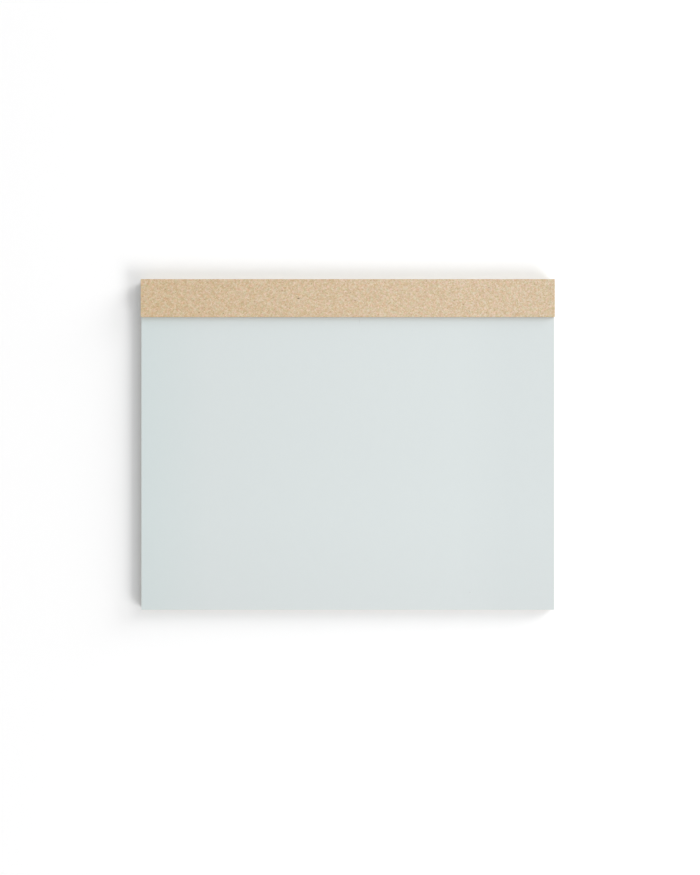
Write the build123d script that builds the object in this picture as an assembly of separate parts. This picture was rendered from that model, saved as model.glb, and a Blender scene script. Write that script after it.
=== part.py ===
from build123d import *
import os

# A landscape drawing pad that lies flat, face up.
# Origin: centre of the underside.  +X along the long edge, +Y towards the glued head, +Z up.
# Millimetres.

# ---------------------------------------------------------------- driving dimensions
SHEET_W = 297.0          # long edge of a sheet, along X
SHEET_FREE_H = 210.3     # part of a sheet that shows below the strip, along Y
STRIP_DEPTH = 27.3       # how far the strip reaches down from the head edge
STRIP_PROUD = 0.15       # the strip stands this far past the sheets at each end
STRIP_T = 2.5            # thickness of the strip's board
STRIP_CORNER_R = 0.6     # plan radius of the strip's corners
STRIP_EDGE_R = 0.22      # eased arris of the cut board

BOARD_T = 2.0            # thickness of the back board
BOARD_CORNER_R = 0.5
BOARD_EDGE_R = 0.2

SHEET_COUNT = 50         # sheets in the stack
SHEET_T = 0.14           # thickness of one sheet
BLOCK_CORNER_R = 0.35    # plan radius left by the trimming knife
BLOCK_ARRIS = 0.05       # softened top arris of the stack

GLUE_T = 0.3             # thickness of the glue film on the head edge
GLUE_INSET = 0.5         # the film stops short of the two side edges
GLUE_FOOT = 0.25         # and short of the underside
GLUE_EDGE_R = 0.12       # rounded outer rim of the film

ADHESIVE_T = 0.1         # adhesive film between the top sheet and the strip
ADHESIVE_INSET = 0.9     # it stays inside the strip's outline

# ---------------------------------------------------------------- derived sizes
PAD_H = SHEET_FREE_H + STRIP_DEPTH            # whole pad along Y
Y_HEAD = PAD_H / 2                            # outer plane of the head
Y_TAIL = -PAD_H / 2                           # lower edge
Y_CUT = Y_HEAD - GLUE_T                       # where sheets and board end, behind the glue film
BODY_H = Y_CUT - Y_TAIL                       # sheets and board along Y
BODY_YC = (Y_CUT + Y_TAIL) / 2
BLOCK_T = SHEET_COUNT * SHEET_T
Z_BLOCK = BOARD_T                             # underside of the stack
Z_TOP_SHEET = Z_BLOCK + BLOCK_T               # face of the top sheet
Z_STRIP = Z_TOP_SHEET + ADHESIVE_T            # underside of the strip
STRIP_W = SHEET_W + 2 * STRIP_PROUD
STRIP_YC = Y_HEAD - STRIP_DEPTH / 2


def slab(width, height, thickness, x, y, z, corner_r):
    """A flat plate with rounded vertical corners, its underside at z."""
    with BuildPart() as plate:
        with BuildSketch(Plane.XY.offset(z)):
            with Locations((x, y)):
                RectangleRounded(width, height, corner_r)
        extrude(amount=thickness)
    return plate.part


def rim(part, z):
    """All edges of the outline at height z."""
    return part.edges().filter_by_position(Axis.Z, z - 1e-4, z + 1e-4)


# ---------------------------------------------------------------- back board
# Solid fibre board, the same outline as the sheets.  It was trimmed with them, so its cut edges are
# crisp and only eased by handling.
back_board = slab(SHEET_W, BODY_H, BOARD_T, 0, BODY_YC, 0, BOARD_CORNER_R)
back_board = fillet(rim(back_board, 0.0), BOARD_EDGE_R)

# ---------------------------------------------------------------- stack of sheets
# All the sheets as one closed solid, with the soft arris that the top few sheets leave.
page_block = slab(SHEET_W, BODY_H, BLOCK_T, 0, BODY_YC, Z_BLOCK, BLOCK_CORNER_R)
page_block = chamfer(rim(page_block, Z_TOP_SHEET), BLOCK_ARRIS)

# ---------------------------------------------------------------- adhesive film under the strip
strip_adhesive = slab(
    SHEET_W - 2 * ADHESIVE_INSET,
    STRIP_DEPTH - GLUE_T - 2 * ADHESIVE_INSET,
    ADHESIVE_T,
    0,
    (Y_CUT - ADHESIVE_INSET + Y_HEAD - STRIP_DEPTH + ADHESIVE_INSET) / 2,
    Z_TOP_SHEET,
    STRIP_CORNER_R,
)

# ---------------------------------------------------------------- strip across the head
# A sawn length of thick board, with slightly broken corners and eased edges above and below.
binding_strip = slab(STRIP_W, STRIP_DEPTH, STRIP_T, 0, STRIP_YC, Z_STRIP, STRIP_CORNER_R)
binding_strip = fillet(
    rim(binding_strip, Z_STRIP) + rim(binding_strip, Z_STRIP + STRIP_T), STRIP_EDGE_R
)

# ---------------------------------------------------------------- padding glue on the head edge
# A brushed film over the sheet and board edges.  Its outer rim is rounded where the glue drew back.
with BuildPart() as film:
    with BuildSketch(Plane.XZ.offset(-Y_HEAD)):
        with Locations((0, (GLUE_FOOT + Z_TOP_SHEET) / 2)):
            RectangleRounded(SHEET_W - 2 * GLUE_INSET, Z_TOP_SHEET - GLUE_FOOT, 0.6)
    extrude(amount=GLUE_T)
    outer = film.faces().sort_by(Axis.Y)[-1]
    fillet(outer.edges(), GLUE_EDGE_R)
head_glue = film.part

# ---------------------------------------------------------------- write one file for each piece
pieces = {
    "back_board": back_board,
    "page_block": page_block,
    "strip_adhesive": strip_adhesive,
    "binding_strip": binding_strip,
    "head_glue": head_glue,
}
os.makedirs("parts", exist_ok=True)
for name, piece in pieces.items():
    solid = piece.solid() if hasattr(piece, "solid") else piece
    export_step(solid, f"parts/{name}.step")
    box = solid.bounding_box()
    print(
        f"{name:15s} volume {solid.volume:12.2f} mm3  "
        f"x {box.min.X:8.2f} {box.max.X:8.2f}  y {box.min.Y:8.2f} {box.max.Y:8.2f}  "
        f"z {box.min.Z:6.2f} {box.max.Z:6.2f}"
    )
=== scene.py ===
import math

import bpy
import numpy as np
from mathutils import Matrix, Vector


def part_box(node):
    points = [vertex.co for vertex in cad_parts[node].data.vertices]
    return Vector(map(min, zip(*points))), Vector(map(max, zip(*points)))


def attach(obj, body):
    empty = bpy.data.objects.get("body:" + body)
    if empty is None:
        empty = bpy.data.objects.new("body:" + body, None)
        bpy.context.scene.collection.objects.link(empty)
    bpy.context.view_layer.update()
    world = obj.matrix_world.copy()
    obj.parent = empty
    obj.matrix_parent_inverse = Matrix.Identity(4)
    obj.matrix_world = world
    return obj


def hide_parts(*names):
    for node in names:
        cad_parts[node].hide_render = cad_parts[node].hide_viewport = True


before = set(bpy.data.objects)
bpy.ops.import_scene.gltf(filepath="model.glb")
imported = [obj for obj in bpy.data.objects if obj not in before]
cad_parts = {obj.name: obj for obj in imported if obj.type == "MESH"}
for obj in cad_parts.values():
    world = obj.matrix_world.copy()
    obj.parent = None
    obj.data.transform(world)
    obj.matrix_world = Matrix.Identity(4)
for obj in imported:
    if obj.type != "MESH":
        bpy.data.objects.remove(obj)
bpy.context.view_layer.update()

MM = 0.001
rng = np.random.default_rng(20417)

# ------------------------------------------------------------------ sizes, read from the frame
(bx0, by0, bz0), (bx1, by1, bz1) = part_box("back_board")
(px0, py0, pz0), (px1, py1, pz1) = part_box("page_block")
(sx0, sy0, sz0), (sx1, sy1, sz1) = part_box("binding_strip")
(gx0, gy0, gz0), (gx1, gy1, gz1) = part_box("head_glue")
(ax0, ay0, az0), (ax1, ay1, az1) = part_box("strip_adhesive")


# ------------------------------------------------------------------ camera
# Straight down over the pad.  The frame is 700 by 875 pixels and one pixel is 0.719 mm on the top sheet.
FW, FH = 700, 875
PX = 0.297 / 413.04            # metres to a pixel, at the top sheet
CAM_UP = 1.15                  # camera above the top sheet
CAM_X, CAM_Y = 1.62 * MM, 5.10 * MM

cam_data = bpy.data.cameras.new("camera")
cam_data.sensor_fit = "HORIZONTAL"
cam_data.sensor_width = 36.0
cam_data.lens = 36.0 * CAM_UP / (FW * PX)
cam_data.clip_start = 0.01
cam_data.clip_end = 50.0
cam_data.dof.use_dof = False
camera = bpy.data.objects.new("camera", cam_data)
camera.location = (CAM_X, CAM_Y, pz1 + CAM_UP)
camera.rotation_euler = (0.0, 0.0, 0.0)
bpy.context.scene.collection.objects.link(camera)
bpy.context.scene.camera = camera


# ------------------------------------------------------------------ smooth seeded noise for shapes
def noise1(n_knots, seed, x):
    """Smooth noise along 0..1, about -1 to 1."""
    r = np.random.default_rng(seed)
    knots = r.uniform(-1, 1, n_knots + 3)
    t = np.clip(np.asarray(x, float), 0, 1) * (n_knots - 1)
    i = np.floor(t).astype(int)
    f = t - i
    p0, p1, p2, p3 = knots[i], knots[i + 1], knots[i + 2], knots[np.minimum(i + 3, n_knots + 2)]
    return 0.5 * (2 * p1 + (p2 - p0) * f + (2 * p0 - 5 * p1 + 4 * p2 - p3) * f**2 + (3 * p1 - p0 - 3 * p2 + p3) * f**3)


def noise2(nx, ny, seed, u, v):
    """Smooth noise over the unit square, about -1 to 1."""
    r = np.random.default_rng(seed)
    g = r.uniform(-1, 1, (nx + 3, ny + 3))

    def weights(t):
        return (
            0.5 * (-t + 2 * t**2 - t**3),
            0.5 * (2 - 5 * t**2 + 3 * t**3),
            0.5 * (t + 4 * t**2 - 3 * t**3),
            0.5 * (-(t**2) + t**3),
        )

    a = np.clip(u, 0, 1) * (nx - 1e-6)
    b = np.clip(v, 0, 1) * (ny - 1e-6)
    i, j = np.floor(a).astype(int), np.floor(b).astype(int)
    wa, wb = weights(a - i), weights(b - j)
    out = 0.0
    for k in range(4):
        for m in range(4):
            out = out + wa[k] * wb[m] * g[np.minimum(i + k, nx + 2), np.minimum(j + m, ny + 2)]
    return out


# ------------------------------------------------------------------ plates as closed meshes
class Plate:
    """A rounded rectangle in plan, as a grid with its outline, ready to be stacked into a closed mesh."""

    def __init__(self, x0, x1, y0, y1, corner, step_x, step_y):
        self.x0, self.x1, self.y0, self.y1 = x0, x1, y0, y1
        xs = self._lines(x0, x1, corner, step_x)
        ys = self._lines(y0, y1, corner, step_y)
        X, Y = np.meshgrid(xs, ys, indexing="ij")
        nx, ny = len(xs), len(ys)
        # The three outline points at each corner go on an arc, and the grid point inside follows.
        for si, ii in ((1, (0, 1, 2)), (-1, (nx - 1, nx - 2, nx - 3))):
            for sj, jj in ((1, (0, 1, 2)), (-1, (ny - 1, ny - 2, ny - 3))):
                cx = (x0 if si > 0 else x1) + si * corner
                cy = (y0 if sj > 0 else y1) + sj * corner
                for (a, b), t in (((0, 1), 22.5), ((0, 0), 45.0), ((1, 0), 67.5)):
                    t = math.radians(t)
                    X[ii[a], jj[b]] = cx - si * corner * math.cos(t)
                    Y[ii[a], jj[b]] = cy - sj * corner * math.sin(t)
                X[ii[1], jj[1]] = cx - si * corner * 0.42
                Y[ii[1], jj[1]] = cy - sj * corner * 0.42
        self.X, self.Y, self.nx, self.ny = X, Y, nx, ny
        loop = (
            [(i, 0) for i in range(nx - 1)]
            + [(nx - 1, j) for j in range(ny - 1)]
            + [(i, ny - 1) for i in range(nx - 1, 0, -1)]
            + [(0, j) for j in range(ny - 1, 0, -1)]
        )
        self.loop = np.array(loop)
        px, py = X[self.loop[:, 0], self.loop[:, 1]], Y[self.loop[:, 0], self.loop[:, 1]]
        tx, ty = np.roll(px, -1) - np.roll(px, 1), np.roll(py, -1) - np.roll(py, 1)
        # Along the straights the outline's normal is exactly square to the side.
        length = np.hypot(tx, ty)
        self.nrm = np.stack([ty / length, -tx / length], 1)
        self.px, self.py = px, py
        self.u = (X - x0) / (x1 - x0)
        self.v = (Y - y0) / (y1 - y0)
        step = np.hypot(np.roll(px, -1) - px, np.roll(py, -1) - py)
        self.s = np.concatenate([[0], np.cumsum(step)[:-1]])
        self.perimeter = float(step.sum())

    @staticmethod
    def _lines(a, b, corner, step):
        inner = np.linspace(a + corner, b - corner, max(2, round((b - a - 2 * corner) / step)) + 1)
        return np.concatenate([[a, a + corner * 0.5], inner, [b - corner * 0.5, b]])

    def build(self, name, rings, top=None, bottom=None, smooth_sides=True, sharp_deg=40.0):
        """rings is a list of (z array or number, inset array or number) from the bottom up.  top and bottom are
        heights over the grid for the two faces, or None for one flat face."""
        n = len(self.loop)
        verts, faces, smooth = [], [], []
        ring_ids = []
        for z, inset in rings:
            x = self.px - self.nrm[:, 0] * inset
            y = self.py - self.nrm[:, 1] * inset
            ring = np.stack([x, y, np.broadcast_to(z, x.shape)], 1)
            ring_ids.append(np.arange(n) + sum(len(v) for v in verts))
            verts.append(ring)
        for lo, hi in zip(ring_ids[:-1], ring_ids[1:]):
            nxt = np.roll(np.arange(n), -1)
            quads = np.stack([lo, lo[nxt], hi[nxt], hi], 1)
            faces += quads.tolist()
            smooth += [smooth_sides] * n

        def cap(height, ring, up):
            if height is None:
                face = ring_ids[ring].tolist()
                faces.append(face if up else face[::-1])
                smooth.append(False)
                return
            total = sum(len(v) for v in verts)
            ids = np.full((self.nx, self.ny), -1)
            ids[self.loop[:, 0], self.loop[:, 1]] = ring_ids[ring]
            inner = np.argwhere(ids < 0)
            ids[inner[:, 0], inner[:, 1]] = total + np.arange(len(inner))
            ix, iy = inner[:, 0], inner[:, 1]
            verts.append(np.stack([self.X[ix, iy], self.Y[ix, iy], height[ix, iy]], 1))
            q = np.stack([ids[:-1, :-1], ids[1:, :-1], ids[1:, 1:], ids[:-1, 1:]], -1).reshape(-1, 4)
            q = q if up else q[:, ::-1]
            faces.extend(q.tolist())
            smooth.extend([True] * len(q))

        cap(bottom, 0, False)
        cap(top, -1, True)
        mesh = bpy.data.meshes.new(name)
        mesh.from_pydata(np.concatenate(verts).tolist(), [], faces)
        mesh.polygons.foreach_set("use_smooth", np.array(smooth, bool))
        mesh.update()
        mesh.validate()
        mesh.set_sharp_from_angle(angle=math.radians(sharp_deg))
        ob = bpy.data.objects.new(name, mesh)
        bpy.context.scene.collection.objects.link(ob)
        return ob


# ------------------------------------------------------------------ stack of sheets
SHEETS = 50
sheet_t = (pz1 - pz0) / SHEETS
plate = Plate(px0, px1, py0, py1, 0.35 * MM, 2.4 * MM, 2.4 * MM)
n = len(plate.loop)
s01 = plate.s / plate.perimeter
head_side = np.clip((plate.nrm[:, 1] - 0.5) * 4, 0, 1)        # 1 along the glued head

# What the trimming knife left: the whole stack leans in by a hair towards the top on the three free sides.
knife = 0.020 * MM * (1 + noise1(17, 31, s01)) * 0.5
rings = []
shift_x = shift_y = 0.0
for k in range(SHEETS):
    z0 = pz0 + k * sheet_t
    # Sheets drift a few hundredths against each other, and now and then one stands back.
    shift_x = 0.86 * shift_x + rng.normal(0, 0.016) * MM
    shift_y = 0.86 * shift_y + rng.normal(0, 0.016) * MM
    back = (0.085 if rng.random() < 0.10 else 0.0) * MM * rng.uniform(0.5, 1.0)
    own = 0.010 * MM * noise1(9, 500 + k, s01)
    inset = (
        0.075 * MM
        + 0.045 * MM * (k / SHEETS)
        + knife
        + own
        + back * np.clip(0.5 + noise1(5, 900 + k, s01), 0, 1)
        - plate.nrm[:, 0] * shift_x
        - plate.nrm[:, 1] * shift_y
        + rng.normal(0, 0.0035, n) * MM
    )
    inset = np.clip(inset, 0.004 * MM, 0.32 * MM) * (1 - head_side) + 0.01 * MM * head_side
    gap = (0.055 + 0.05 * rng.random() ** 3) * MM
    rim = 0.16 * sheet_t
    if k:
        rings.append((z0, np.maximum(inset, last) + gap * (1 - 0.7 * head_side)))
    rings.append((z0 + rim, inset))
    rings.append((z0 + sheet_t - rim, inset))
    last = inset
rings.insert(0, (pz0, rings[0][1] + 0.02 * MM))
# The top sheet's upper arris.
rings.append((pz1 - 0.004 * MM, last + 0.02 * MM))

u, v = plate.u, plate.v
relief = (
    0.010 * MM * noise2(7, 5, 61, u, v)
    + 0.006 * MM * noise2(23, 17, 62, u, v)
)
edge = np.minimum(np.minimum(u, 1 - u) * (px1 - px0), np.minimum(v, 1 - v) * (py1 - py0)) / MM
relief = pz1 - 0.018 * MM + relief * np.clip(edge / 6, 0, 1) + 0.014 * MM * np.clip(1 - edge / 2.5, 0, 1)
page = plate.build("drawing_sheets", rings, top=relief, bottom=None, smooth_sides=False)
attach(page, "root")
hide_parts("page_block")


# ------------------------------------------------------------------ boards
def board(name, x0, x1, y0, y1, z0, z1, corner, edge_r, step, seed, fine_bottom):
    """A cut plate of fibre board: eased edges, a faintly pressed surface, and cut sides that show its plies."""
    p = Plate(x0, x1, y0, y1, corner, step, step)
    s = p.s / p.perimeter
    m = len(p.loop)
    r = np.random.default_rng(seed)
    thick = z1 - z0
    side = []
    steps = 10
    rings = []
    # lower eased edge, the cut side in plies, upper eased edge
    for a in (0.0, 22.5, 45.0, 67.5):
        t = math.radians(a)
        rings.append((z0 + edge_r * (1 - math.cos(t)), edge_r * (1 - math.sin(t)), a))
    for i in range(steps + 1):
        rings.append((z0 + edge_r + (thick - 2 * edge_r) * i / steps, 0.0, 90.0))
    for a in (67.5, 45.0, 22.5, 0.0):
        t = math.radians(a)
        rings.append((z1 - edge_r * (1 - math.cos(t)), edge_r * (1 - math.sin(t)), a))
    wobble = 0.014 * MM * noise1(60, seed + 1, s) + 0.012 * MM * noise1(260, seed + 2, s)
    out = []
    for k, (z, inset, a) in enumerate(rings):
        rough = 0.012 * MM * (a / 90.0) * (1 + noise1(420, seed + 10 + k, s)) + r.normal(0, 0.005, m) * MM * (a / 90.0)
        rough = np.clip(rough, 0, None)
        out.append((z, inset + rough + np.clip(wobble + 0.02 * MM, 0, None) * (a / 90.0)))
    u, v = p.u, p.v
    nu, nv = max(4, int((x1 - x0) / (4 * MM))), max(4, int((y1 - y0) / (4 * MM)))
    fine_u, fine_v = max(8, int((x1 - x0) / (1.3 * MM))), max(8, int((y1 - y0) / (1.3 * MM)))
    h = 0.008 * MM * noise2(nu, nv, seed + 50, u, v) + 0.010 * MM * noise2(fine_u, fine_v, seed + 51, u, v)
    edge = np.minimum(np.minimum(u, 1 - u) * (x1 - x0), np.minimum(v, 1 - v) * (y1 - y0)) / MM
    h = (h - 0.014 * MM) * np.clip(edge / 1.0, 0, 1)
    top = z1 + np.minimum(h, 0)
    bottom = None
    if fine_bottom:
        g = 0.008 * MM * noise2(nu, nv, seed + 70, u, v) + 0.010 * MM * noise2(fine_u, fine_v, seed + 71, u, v)
        bottom = z0 + np.maximum((g + 0.014 * MM) * np.clip(edge / 1.0, 0, 1), 0)
    return p.build(name, out, top=top, bottom=bottom)


strip = board("fibre_strip", sx0, sx1, sy0, sy1, sz0, sz1, 0.6 * MM, 0.22 * MM, 0.55 * MM, 700, False)
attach(strip, "root")
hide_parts("binding_strip")

back = board("stiff_back", bx0, bx1, by0, by1, bz0, bz1, 0.5 * MM, 0.2 * MM, 1.6 * MM, 800, True)
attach(back, "root")
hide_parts("back_board")


# ------------------------------------------------------------------ padding glue on the head edge
def glue_film():
    nx, nz = 560, 20
    xs = np.linspace(gx0, gx1, nx + 1)
    u = (xs - gx0) / (gx1 - gx0)
    # The brushed film thins and thickens along the edge, its foot is uneven, its ends are drawn back.
    foot = gz0 + 0.10 * MM + 0.10 * MM * (1 + noise1(46, 71, u)) * 0.5 + 0.06 * MM * (1 + noise1(190, 72, u)) * 0.5
    crown = gz1 - 0.03 * MM - 0.05 * MM * (1 + noise1(40, 73, u)) * 0.5
    face_y = gy0 + 0.0 * MM
    verts, faces = [], []
    grid = np.zeros((nx + 1, nz + 1), int)
    for j in range(nz + 1):
        v = j / nz
        z = foot + (crown - foot) * v
        strokes = (
            0.055 * noise2(26, 9, 74, u, np.full_like(u, v))
            + 0.030 * noise2(120, 14, 75, u, np.full_like(u, v))
            + 0.016 * noise2(9, 34, 76, u, np.full_like(u, v))
        ) * MM
        rim = np.minimum(np.minimum(v, 1 - v) * (crown - foot), np.minimum(u, 1 - u) * (gx1 - gx0)) / MM
        lip = np.sqrt(np.clip(rim / 0.45, 0, 1))
        y = face_y + (0.19 * MM + strokes) * lip
        y = np.clip(y, face_y, gy1 - 0.002 * MM)
        grid[:, j] = np.arange(nx + 1) + len(verts) * (nx + 1)
        verts.append(np.stack([xs, y, z], 1))
    q = np.stack([grid[:-1, :-1], grid[:-1, 1:], grid[1:, 1:], grid[1:, :-1]], -1).reshape(-1, 4)
    faces += q.tolist()
    front = np.concatenate(verts)
    # the flat inner face, a hair behind the cut sheets
    rim_ids = np.concatenate([grid[:, 0], grid[-1, 1:], grid[-2::-1, -1], grid[0, -2:0:-1]])
    inner = front[rim_ids].copy()
    inner[:, 1] = face_y - 0.02 * MM
    base = len(front)
    k = len(rim_ids)
    for i in range(k):
        j = (i + 1) % k
        faces.append([int(rim_ids[i]), int(rim_ids[j]), base + j, base + i])
    faces.append([base + i for i in range(k)])
    mesh = bpy.data.meshes.new("padding_film")
    mesh.from_pydata(np.concatenate([front, inner]).tolist(), [], faces)
    mesh.polygons.foreach_set("use_smooth", np.ones(len(mesh.polygons), bool))
    mesh.update()
    mesh.validate()
    mesh.set_sharp_from_angle(angle=math.radians(50))
    ob = bpy.data.objects.new("padding_film", mesh)
    bpy.context.scene.collection.objects.link(ob)
    return ob


film = glue_film()
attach(film, "root")
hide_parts("head_glue")


# ------------------------------------------------------------------ adhesive under the strip
def adhesive():
    p = Plate(ax0, ax1, ay0, ay1, 0.6 * MM, 1.2 * MM, 1.2 * MM)
    s = p.s / p.perimeter
    # Where the strip was pressed down the film spread unevenly, so its edge wanders.
    out = 0.35 * MM * (1 + noise1(150, 41, s)) * 0.5 + 0.12 * MM * (1 + noise1(520, 42, s)) * 0.5
    bulge = 0.04 * MM
    rings = [(az0, out + bulge), (az0 + (az1 - az0) * 0.5, out), (az1, out + bulge)]
    return p.build("strip_bond", rings, top=None, bottom=None)


bond = adhesive()
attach(bond, "root")
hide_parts("strip_adhesive")


# ------------------------------------------------------------------ materials
class Nodes:
    """A short way to write node trees."""

    def __init__(self, name):
        self.mat = bpy.data.materials.new(name)
        self.mat.use_nodes = True
        self.nt = self.mat.node_tree
        self.nt.nodes.clear()
        self.out = self.nt.nodes.new("ShaderNodeOutputMaterial")
        self.bsdf = self.nt.nodes.new("ShaderNodeBsdfPrincipled")
        self.nt.links.new(self.bsdf.outputs["BSDF"], self.out.inputs["Surface"])
        coord = self.nt.nodes.new("ShaderNodeTexCoord")
        # millimetres of the row frame
        self.mm = self.vmath("SCALE", coord.outputs["Object"], scale=1000.0)

    def put(self, socket, value):
        if isinstance(value, bpy.types.NodeSocket):
            self.nt.links.new(value, socket)
        elif value is not None:
            socket.default_value = value

    def math(self, op, a, b=None, c=None, clamp=False):
        n = self.nt.nodes.new("ShaderNodeMath")
        n.operation, n.use_clamp = op, clamp
        for i, x in enumerate((a, b, c)):
            self.put(n.inputs[i], x)
        return n.outputs[0]

    def vmath(self, op, a, b=None, scale=None):
        n = self.nt.nodes.new("ShaderNodeVectorMath")
        n.operation = op
        self.put(n.inputs[0], a)
        if b is not None:
            self.put(n.inputs[1], b)
        if scale is not None:
            self.put(n.inputs["Scale"], scale)
        return n.outputs["Value"] if op in ("LENGTH", "DISTANCE", "DOT_PRODUCT") else n.outputs[0]

    def mapping(self, vec, loc=(0, 0, 0), rot=(0, 0, 0), scale=(1, 1, 1)):
        n = self.nt.nodes.new("ShaderNodeMapping")
        n.vector_type = "POINT"
        self.put(n.inputs["Vector"], vec)
        n.inputs["Location"].default_value = loc
        n.inputs["Rotation"].default_value = rot
        n.inputs["Scale"].default_value = scale
        return n.outputs[0]

    def noise(self, vec, scale, detail=2.0, rough=0.5, distortion=0.0):
        n = self.nt.nodes.new("ShaderNodeTexNoise")
        n.noise_dimensions = "3D"
        self.put(n.inputs["Vector"], vec)
        n.inputs["Scale"].default_value = scale
        n.inputs["Detail"].default_value = detail
        n.inputs["Roughness"].default_value = rough
        n.inputs["Distortion"].default_value = distortion
        return n.outputs

    def voronoi(self, vec, scale, feature="F1", rand=1.0):
        n = self.nt.nodes.new("ShaderNodeTexVoronoi")
        n.voronoi_dimensions, n.feature = "3D", feature
        self.put(n.inputs["Vector"], vec)
        n.inputs["Scale"].default_value = scale
        n.inputs["Randomness"].default_value = rand
        return n.outputs

    def split(self, colour):
        n = self.nt.nodes.new("ShaderNodeSeparateColor")
        self.put(n.inputs[0], colour)
        return n.outputs

    def range(self, value, a, b, c, d, clamp=True, smooth=False):
        n = self.nt.nodes.new("ShaderNodeMapRange")
        n.clamp = clamp
        n.interpolation_type = "SMOOTHSTEP" if smooth else "LINEAR"
        self.put(n.inputs["Value"], value)
        for key, x in zip(("From Min", "From Max", "To Min", "To Max"), (a, b, c, d)):
            self.put(n.inputs[key], x)
        return n.outputs["Result"]

    def mix(self, fac, a, b, blend="MIX"):
        n = self.nt.nodes.new("ShaderNodeMix")
        n.data_type, n.blend_type = "RGBA", blend
        n.clamp_factor = True
        self.put(n.inputs[0], fac)
        self.put(n.inputs[6], a)
        self.put(n.inputs[7], b)
        return n.outputs[2]

    def bump(self, height, strength, distance, normal=None):
        n = self.nt.nodes.new("ShaderNodeBump")
        n.inputs["Strength"].default_value = strength
        n.inputs["Distance"].default_value = distance
        self.put(n.inputs["Height"], height)
        if normal is not None:
            self.put(n.inputs["Normal"], normal)
        return n.outputs[0]


def to_linear(r, g, b):
    return tuple(((c / 255 + 0.055) / 1.055) ** 2.4 if c > 10.31475 else c / 255 / 12.92 for c in (r, g, b)) + (1.0,)


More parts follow.
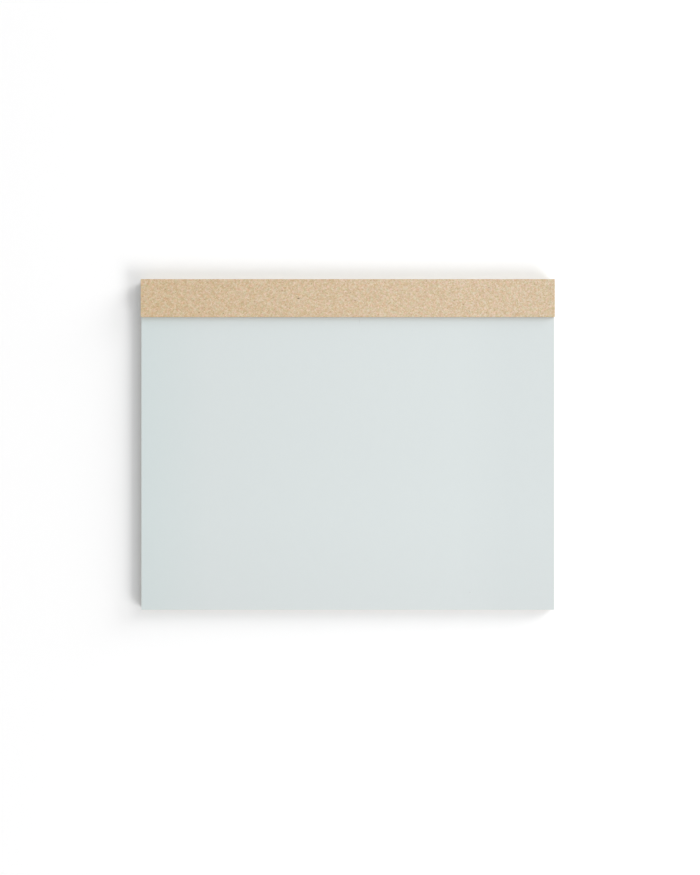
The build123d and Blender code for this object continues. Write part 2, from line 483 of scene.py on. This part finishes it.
def fibre_board(name, base, seed, flecks=()):
    """Pressed board of milled fibre: sand-coloured grains of many shades, thin fibres, a few dark and rusty chips."""
    m = Nodes(name)
    vec = m.mapping(m.mm, loc=(seed * 3.7, seed * 1.9, seed * 2.3))
    wob = m.noise(vec, 0.9, 2.0)["Color"]
    vec_w = m.vmath("ADD", vec, m.vmath("SCALE", m.vmath("SUBTRACT", wob, (0.5, 0.5, 0.5)), scale=0.55))
    grain = m.voronoi(vec_w, 1.0 / 0.95)
    fine = m.voronoi(m.mapping(vec_w, loc=(11.1, 5.3, 2.2)), 1.0 / 0.5)
    g = m.split(grain["Color"])
    f = m.split(fine["Color"])
    broad = m.noise(vec, 0.11, 3.0, 0.55)["Fac"]
    blot = m.noise(vec, 0.42, 2.0, 0.5)["Fac"]
    # thin fibres lie flat in all directions
    fibre = None
    for k, turn in enumerate((0.35, 1.4, 2.45)):
        w = m.mapping(m.mapping(vec_w, rot=(0, 0, turn)), loc=(k * 7.7, 0, 0), scale=(0.55, 3.1, 2.4))
        line = m.noise(w, 1.0, 1.0, 0.5)["Fac"]
        fibre = line if fibre is None else m.math("ADD", fibre, line)
    fibre = m.math("SUBTRACT", m.math("MULTIPLY", fibre, 1 / 3), 0.5)
    # brightness: grains, finer grains, fibres, faint clouds
    light = m.math("MULTIPLY", m.math("SUBTRACT", g[0], 0.5), 0.50)
    light = m.math("ADD", light, m.math("MULTIPLY", m.math("SUBTRACT", f[0], 0.5), 0.55))
    light = m.math("ADD", light, m.math("MULTIPLY", fibre, 0.88))
    light = m.math("ADD", light, m.math("MULTIPLY", m.math("SUBTRACT", blot, 0.5), 0.30))
    light = m.math("ADD", light, m.math("MULTIPLY", m.math("SUBTRACT", broad, 0.5), 0.05))
    pale = tuple(min(1.0, c * k) for c, k in zip(base[:3], (1.22, 1.29, 1.48))) + (1.0,)
    dark = tuple(c * k for c, k in zip(base[:3], (0.80, 0.70, 0.52))) + (1.0,)
    colour = m.mix(m.math("ADD", light, 0.5, clamp=True), dark, pale)
    # hue: some grains are rusty, some greenish
    hue = m.split(grain["Color"])[1]
    rust = tuple(c * k for c, k in zip(base[:3], (1.05, 0.89, 0.80))) + (1.0,)
    green = tuple(c * k for c, k in zip(base[:3], (0.95, 1.02, 0.93))) + (1.0,)
    colour = m.mix(m.range(hue, 0.80, 1.0, 0.0, 0.5), colour, rust)
    colour = m.mix(m.range(hue, 0.20, 0.0, 0.0, 0.45), colour, green)
    # and clumps of a few grains lean to red or green, to yellow or grey
    lean = m.split(m.noise(m.mapping(vec, loc=(4.4, 9.2, 0.7)), 0.42, 1.0, 0.5)["Color"])
    colour = m.vmath("MULTIPLY", colour, m.mix(lean[0], (0.90, 1.095, 1.03, 1.0), (1.10, 0.905, 0.97, 1.0)))
    colour = m.vmath("MULTIPLY", colour, m.mix(lean[1], (1.0, 1.01, 1.15, 1.0), (1.0, 0.99, 0.85, 1.0)))
    # painted light: the colour is made browner towards the left end and paler towards the right, with the far right
    # end a shade less red, standing in for the sheen and the light from the right
    along = m.nt.nodes.new("ShaderNodeSeparateXYZ")
    m.put(along.inputs[0], m.mm)
    painted_light_tint = m.mix(m.range(along.outputs[0], -148.0, 80.0, 0.0, 1.0), (0.990, 0.980, 0.920, 1.0), (1.010, 1.026, 1.036, 1.0))
    painted_light_tint = m.mix(m.range(along.outputs[0], 95.0, 148.0, 0.0, 1.0), painted_light_tint, (0.975, 1.000, 1.000, 1.0))
    colour = m.vmath("MULTIPLY", colour, painted_light_tint)
    # small dark chips: few cells of a coarser pattern hold one
    chip = m.voronoi(m.mapping(vec_w, loc=(3.3, 8.8, 1.7), rot=(0, 0, 0.6), scale=(0.75, 1.35, 1.2)), 1.0 / 2.1)
    has = m.range(m.split(chip["Color"])[0], 0.955, 0.975, 0.0, 1.0)
    near = m.range(chip["Distance"], 0.13, 0.30, 1.0, 0.0, smooth=True)
    dark_chip = m.math("MULTIPLY", has, near)
    brown = tuple(c * k for c, k in zip(base[:3], (0.52, 0.40, 0.27))) + (1.0,)
    colour = m.mix(m.math("MULTIPLY", dark_chip, 0.75), colour, brown)
    # the few chips that stand out
    spots = None
    jitter = m.vmath("SCALE", m.vmath("SUBTRACT", m.noise(m.mm, 1.7, 2.0)["Color"], (0.5, 0.5, 0.5)), scale=0.55)
    place = m.vmath("ADD", m.mm, jitter)
    for x, y, a, b, turn, depth in flecks:
        q = m.vmath("SUBTRACT", place, (x, y, 0.0))
        q = m.mapping(q, rot=(0, 0, -turn), scale=(1 / a, 1 / b, 0.0))
        hit = m.range(m.vmath("LENGTH", q), 0.55, 1.15, depth, 0.0, smooth=True)
        spots = hit if spots is None else m.math("MAXIMUM", spots, hit)
    if spots is not None:
        speck = tuple(c * k for c, k in zip(base[:3], (0.26, 0.18, 0.06))) + (1.0,)
        colour = m.mix(spots, colour, speck)
    m.put(m.bsdf.inputs["Base Color"], colour)
    rough = m.math("ADD", m.math("MULTIPLY", f[1], 0.12), 0.52)
    m.put(m.bsdf.inputs["Roughness"], rough)
    m.bsdf.inputs["Specular IOR Level"].default_value = 0.5
    height = m.math("ADD", m.math("MULTIPLY", light, 0.8), m.math("MULTIPLY", grain["Distance"], 0.25))
    height = m.math("SUBTRACT", height, m.math("MULTIPLY", dark_chip, 0.5))
    m.put(m.bsdf.inputs["Normal"], m.bump(height, 0.35, 0.10 * MM))
    return m


def drawing_paper(name, base):
    """Uncoated sheets: a faint cloudy formation, soft tooth, and at the cut edges each sheet a shade of its own."""
    m = Nodes(name)
    cloud = m.noise(m.mm, 0.16, 3.0, 0.6)["Fac"]
    mottle = m.noise(m.mm, 0.75, 2.0, 0.6)["Fac"]
    tooth = m.noise(m.mm, 2.6, 3.0, 0.65)["Fac"]
    k = m.math("ADD", m.math("MULTIPLY", m.math("SUBTRACT", cloud, 0.5), 0.018), m.math("MULTIPLY", m.math("SUBTRACT", mottle, 0.5), 0.016))
    k = m.math("ADD", k, m.math("MULTIPLY", m.math("SUBTRACT", tooth, 0.5), 0.02))
    # sheet by sheet, only where the surface is a cut edge
    xyz = m.nt.nodes.new("ShaderNodeSeparateXYZ")
    m.put(xyz.inputs[0], m.mm)
    layer = m.math("FLOOR", m.math("DIVIDE", m.math("SUBTRACT", xyz.outputs[2], pz0 / MM), sheet_t / MM))
    white = m.nt.nodes.new("ShaderNodeTexWhiteNoise")
    white.noise_dimensions = "1D"
    m.put(white.inputs["W"], layer)
    streak = m.noise(m.mapping(m.mm, scale=(0.35, 0.35, 7.0)), 1.0, 2.0, 0.6)["Fac"]
    geo = m.nt.nodes.new("ShaderNodeNewGeometry")
    nz = m.nt.nodes.new("ShaderNodeSeparateXYZ")
    m.put(nz.inputs[0], geo.outputs["True Normal"])
    side = m.range(m.math("ABSOLUTE", nz.outputs[2]), 0.5, 0.9, 1.0, 0.0)
    edge = m.math("ADD", m.math("MULTIPLY", m.math("SUBTRACT", white.outputs["Value"], 0.5), 0.10), m.math("MULTIPLY", m.math("SUBTRACT", streak, 0.5), 0.10))
    k = m.math("ADD", k, m.math("MULTIPLY", m.math("SUBTRACT", edge, 0.02), side))
    shade = m.math("ADD", k, 1.0)
    colour = m.vmath("SCALE", base[:3], scale=shade)
    # one small speck in the sheet, and a short faint dark line just below the strip
    for x, y, a, b, depth, tint in (
        (87.9, -106.3, 0.34, 0.30, 0.45, (0.25, 0.26, 0.26, 1.0)),
        (8.5, 88.6, 0.34, 1.9, 0.15, (0.30, 0.31, 0.31, 1.0)),
    ):
        q = m.mapping(m.vmath("SUBTRACT", m.mm, (x, y, pz1 / MM)), scale=(1 / a, 1 / b, 1.0))
        hit = m.range(m.vmath("LENGTH", q), 0.5, 1.2, depth, 0.0, smooth=True)
        colour = m.mix(hit, colour, tint)
    # painted shade: the sheet's colour is made darker towards its left, right and bottom edges, most at the left, as
    # if less light reached them
    one = (1.0, 1.0, 1.0, 1.0)
    colour = m.vmath("MULTIPLY", colour, m.mix(m.range(xyz.outputs[0], -100.0, -148.5, 0.0, 1.0), one, (0.948, 0.982, 0.980, 1.0)))
    colour = m.vmath("MULTIPLY", colour, m.mix(m.range(xyz.outputs[0], 80.0, 118.0, 0.0, 1.0), one, (0.970, 0.970, 0.972, 1.0)))
    colour = m.vmath("MULTIPLY", colour, m.mix(m.range(xyz.outputs[1], -55.0, -112.0, 0.0, 1.0), one, (0.980, 0.974, 0.974, 1.0)))
    m.put(m.bsdf.inputs["Base Color"], colour)
    m.put(m.bsdf.inputs["Roughness"], m.math("ADD", m.math("MULTIPLY", tooth, 0.12), 0.56))
    m.bsdf.inputs["Specular IOR Level"].default_value = 0.5
    fibre = m.noise(m.mapping(m.mm, scale=(1.0, 1.7, 1.0)), 1.9, 3.0, 0.6)["Fac"]
    height = m.math("ADD", m.math("MULTIPLY", tooth, 0.6), m.math("MULTIPLY", fibre, 0.6))
    m.put(m.bsdf.inputs["Normal"], m.bump(height, 0.22, 0.05 * MM))
    return m


def glue(name, base, rough, bump):
    """Dried padding glue: a creamy rubbery film with brush lines, a little thin in places."""
    m = Nodes(name)
    strokes = m.noise(m.mapping(m.mm, scale=(0.05, 1.0, 3.2)), 1.0, 3.0, 0.6)["Fac"]
    lumps = m.noise(m.mm, 0.35, 3.0, 0.55)["Fac"]
    thin = tuple(c * k for c, k in zip(base[:3], (0.86, 0.86, 0.80))) + (1.0,)
    mixv = m.math("ADD", m.math("MULTIPLY", strokes, 0.7), m.math("MULTIPLY", lumps, 0.5))
    colour = m.mix(m.range(mixv, 0.42, 0.78, 0.0, 1.0), thin, base)
    m.put(m.bsdf.inputs["Base Color"], colour)
    m.put(m.bsdf.inputs["Roughness"], m.math("ADD", m.math("MULTIPLY", lumps, 0.22), rough))
    m.bsdf.inputs["Specular IOR Level"].default_value = 0.5
    m.put(m.bsdf.inputs["Normal"], m.bump(mixv, bump, 0.12 * MM))
    return m


KRAFT = (0.557, 0.418, 0.262, 1.0)
BACK = (0.470, 0.360, 0.240, 1.0)
PAPER = (0.607, 0.656, 0.655, 1.0)


def at_px(x, y):
    """Row-frame millimetres of a point on the strip's face, from its place in the 700 by 875 frame."""
    k = PX * (CAM_UP - (sz1 - pz1)) / CAM_UP / MM
    return CAM_X / MM + (x - FW / 2) * k, CAM_Y / MM + (FH / 2 - y) * k


# Chips that stand out: place in the frame, half length and half width in mm, turn, depth.
marks = [
    (298.5, 298.3, 1.15, 0.42, 0.05, 0.95),
    (199.0, 312.5, 0.60, 0.45, 0.3, 0.55),
    (223.5, 313.5, 0.40, 0.55, 0.0, 0.60),
    (311.4, 284.0, 0.35, 0.60, 0.0, 0.50),
    (378.0, 316.0, 0.55, 0.35, 0.0, 0.40),
    (400.0, 315.0, 0.50, 0.40, 0.0, 0.40),
    (410.0, 294.0, 0.45, 0.40, 0.7, 0.45),
    (426.5, 281.0, 0.50, 0.40, 0.2, 0.45),
    (451.5, 287.5, 0.45, 0.45, 0.0, 0.45),
    (469.6, 311.3, 0.45, 0.50, 0.0, 0.50),
    (509.0, 298.0, 0.45, 0.45, 0.0, 0.45),
    (518.0, 312.0, 0.45, 0.40, 0.0, 0.40),
    (534.8, 284.0, 0.45, 0.45, 0.0, 0.45),
    (549.7, 289.0, 0.45, 0.40, 0.0, 0.45),
]
flecks = [(*at_px(x, y), a, b, t, d) for x, y, a, b, t, d in marks]


def dress(ob, nodes):
    ob.data.materials.clear()
    ob.data.materials.append(nodes.mat)


dress(strip, fibre_board("strip_board", KRAFT, 1.0, flecks))
dress(back, fibre_board("back_board", BACK, 9.0))
dress(page, drawing_paper("drawing_paper", PAPER))
dress(film, glue("padding_glue", (0.74, 0.70, 0.60, 1.0), 0.34, 0.5))
dress(bond, glue("strip_adhesive", (0.66, 0.60, 0.48, 1.0), 0.45, 0.3))


# ------------------------------------------------------------------ floor
floor_mesh = bpy.data.meshes.new("floor")
F = 6.0
floor_mesh.from_pydata([(-F, -F, -0.0002), (F, -F, -0.0002), (F, F, -0.0002), (-F, F, -0.0002)], [], [(0, 1, 2, 3)])
floor_mesh.update()
floor = bpy.data.objects.new("floor", floor_mesh)
bpy.context.scene.collection.objects.link(floor)
fl = Nodes("floor")
tone = fl.math("ADD", fl.math("MULTIPLY", fl.noise(fl.mm, 0.01, 2.0)["Fac"], 0.006), 0.997)
fl.put(fl.bsdf.inputs["Base Color"], fl.vmath("SCALE", (0.972, 0.972, 0.972), scale=tone))
fl.bsdf.inputs["Roughness"].default_value = 0.9
fl.bsdf.inputs["Specular IOR Level"].default_value = 0.0
floor_mesh.materials.append(fl.mat)


# ------------------------------------------------------------------ light
world = bpy.data.worlds.new("studio")
bpy.context.scene.world = world
world.use_nodes = True
wn = world.node_tree
wn.nodes.clear()
wout = wn.nodes.new("ShaderNodeOutputWorld")
ambient = wn.nodes.new("ShaderNodeBackground")
seen = wn.nodes.new("ShaderNodeBackground")
pick = wn.nodes.new("ShaderNodeMixShader")
path = wn.nodes.new("ShaderNodeLightPath")
W_AMBIENT = 0.527
ambient.inputs["Color"].default_value = (1, 1, 1, 1)
ambient.inputs["Strength"].default_value = W_AMBIENT
seen.inputs["Color"].default_value = (1, 1, 1, 1)
seen.inputs["Strength"].default_value = 1.0
wn.links.new(path.outputs["Is Camera Ray"], pick.inputs[0])
wn.links.new(ambient.outputs[0], pick.inputs[1])
wn.links.new(seen.outputs[0], pick.inputs[2])
wn.links.new(pick.outputs[0], wout.inputs["Surface"])


def softbox(name, low, high, y0, y1, level, dist=3.8):
    """A long level softbox to the right, parallel to the pad's short edges.  Seen along Y it fills the
    elevations from low to high, in degrees, and it runs from y0 to y1.  level is the brightness it gives a
    white level floor under it."""
    e = math.radians((low + high) / 2)
    z = np.array([math.cos(e), 0.0, math.sin(e)])
    x = np.array([0.0, 1.0, 0.0])
    y = np.cross(z, x)
    wide, tall = y1 - y0, 2 * dist * math.tan(math.radians((high - low) / 2))
    pos = z * dist + x * (y0 + y1) / 2
    # what the rectangle gives the origin, summed over its face
    gx, gy = np.meshgrid((np.arange(80) + 0.5) / 80 - 0.5, (np.arange(80) + 0.5) / 80 - 0.5)
    pts = pos + gx[..., None] * wide * x + gy[..., None] * tall * y
    d = np.linalg.norm(pts, axis=-1)
    got = (np.clip(pts[..., 2], 0, None) / d * ((pts / d[..., None]) @ z) / d**2).mean() / math.pi**2
    data = bpy.data.lights.new(name, "AREA")
    data.shape = "RECTANGLE"
    data.size, data.size_y = wide, tall
    data.energy = level / got
    ob = bpy.data.objects.new(name, data)
    ob.matrix_world = Matrix(((x[0], y[0], z[0], pos[0]), (x[1], y[1], z[1], pos[1]), (x[2], y[2], z[2], pos[2]), (0, 0, 0, 1)))
    bpy.context.scene.collection.objects.link(ob)
    return ob


# Two banks of softboxes on the right, one towards the head and one towards the foot.
softbox("head_low", 4, 32, 1.2, 4.0, 0.1224)
softbox("head_mid", 32, 43, 1.2, 4.0, 0.0298)
softbox("head_key", 43, 54, 1.2, 4.0, 0.0611)
softbox("head_high", 58, 75, 1.2, 4.0, 0.0494)
softbox("foot_low", 4, 32, -4.0, -1.2, 0.0087)
softbox("foot_mid", 32, 43, -4.0, -1.2, 0.1091)
softbox("foot_key", 43, 54, -4.0, -1.2, 0.1267)
softbox("foot_high", 58, 75, -4.0, -1.2, 0.0376)

# The sheen: a narrow softbox overhead, a little to the right, seen only as a reflection.
sheen = softbox("sheen", 80, 85, -0.9, 0.9, 0.897, 1.8)
sheen.visible_diffuse = False

# ------------------------------------------------------------------ colour
scene = bpy.context.scene
scene.view_settings.view_transform = "Standard"
scene.view_settings.look = "None"
scene.view_settings.exposure = 0.0
scene.view_settings.gamma = 1.0
